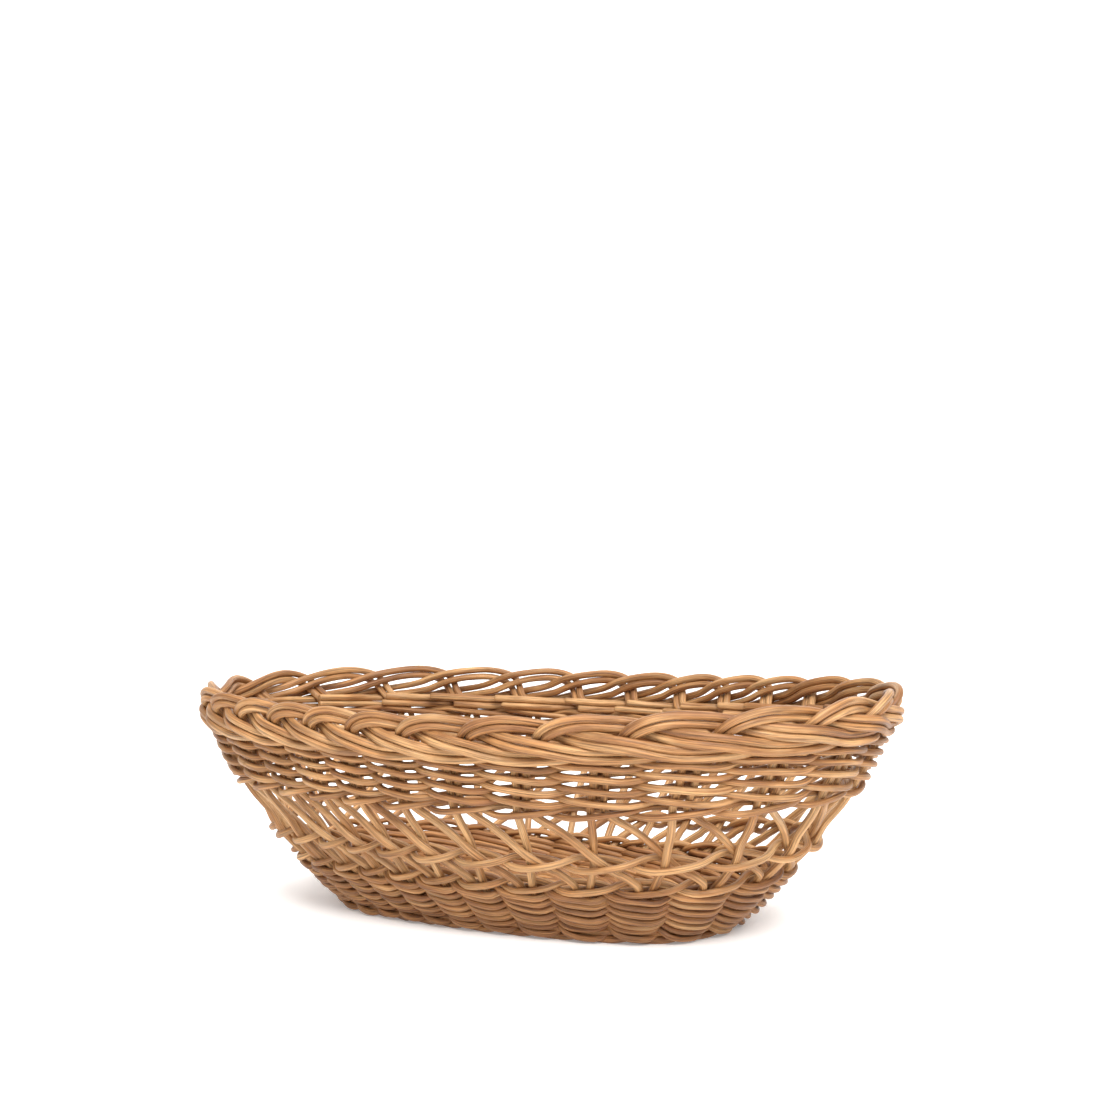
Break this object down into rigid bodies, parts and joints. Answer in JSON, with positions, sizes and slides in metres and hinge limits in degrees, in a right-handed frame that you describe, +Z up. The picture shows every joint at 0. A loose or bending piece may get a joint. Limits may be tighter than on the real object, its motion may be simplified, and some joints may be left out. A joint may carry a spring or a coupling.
{
  "type": "bread basket",
  "caption": "Oval open-work bread basket woven from round honey-coloured cane, with a flared wall, a band of crossed stakes and a plaited border",
  "frame": {"origin": "on the table, under the middle of the base", "axes": "+X along the basket's length, +Y across it, +Z up"},
  "size_m": [0.306, 0.1899, 0.0931],
  "materials": {
    "stake_cane": "peeled round cane, satin, straw coloured",
    "weaver_cane": "peeled round cane, satin, honey coloured",
    "base_cane": "peeled round cane, satin, amber coloured"
  },
  "bodies": {
    "root": {"base_long_sticks": "base_cane", "base_cross_sticks": "base_cane", "base_weave_inner": "base_cane", "base_weave_outer": "base_cane", "base_edge_row": "base_cane", "lower_row_1": "weaver_cane", "lower_row_2": "weaver_cane", "lower_row_3": "weaver_cane", "lower_row_4": "weaver_cane", "lower_row_5": "weaver_cane", "lower_row_6": "weaver_cane", "lower_row_7": "weaver_cane", "lower_row_8": "weaver_cane", "middle_fitch_row": "weaver_cane", "upper_row_1": "weaver_cane", "upper_row_2": "weaver_cane", "upper_row_3": "weaver_cane", "upper_row_4": "weaver_cane", "upper_row_5": "weaver_cane", "stake_pair_01": "stake_cane", "stake_pair_02": "stake_cane", "stake_pair_03": "stake_cane", "stake_pair_04": "stake_cane", "stake_pair_05": "stake_cane", "stake_pair_06": "stake_cane", "stake_pair_07": "stake_cane", "stake_pair_08": "stake_cane", "stake_pair_09": "stake_cane", "stake_pair_10": "stake_cane", "stake_pair_11": "stake_cane", "stake_pair_12": "stake_cane", "stake_pair_13": "stake_cane", "stake_pair_14": "stake_cane", "stake_pair_15": "stake_cane", "stake_pair_16": "stake_cane", "stake_pair_17": "stake_cane", "stake_pair_18": "stake_cane", "stake_pair_19": "stake_cane", "stake_pair_20": "stake_cane", "stake_pair_21": "stake_cane", "stake_pair_22": "stake_cane", "stake_pair_23": "stake_cane", "stake_pair_24": "stake_cane", "stake_pair_25": "stake_cane", "stake_pair_26": "stake_cane", "stake_pair_27": "stake_cane", "stake_pair_28": "stake_cane"}
  },
  "joints": []
}
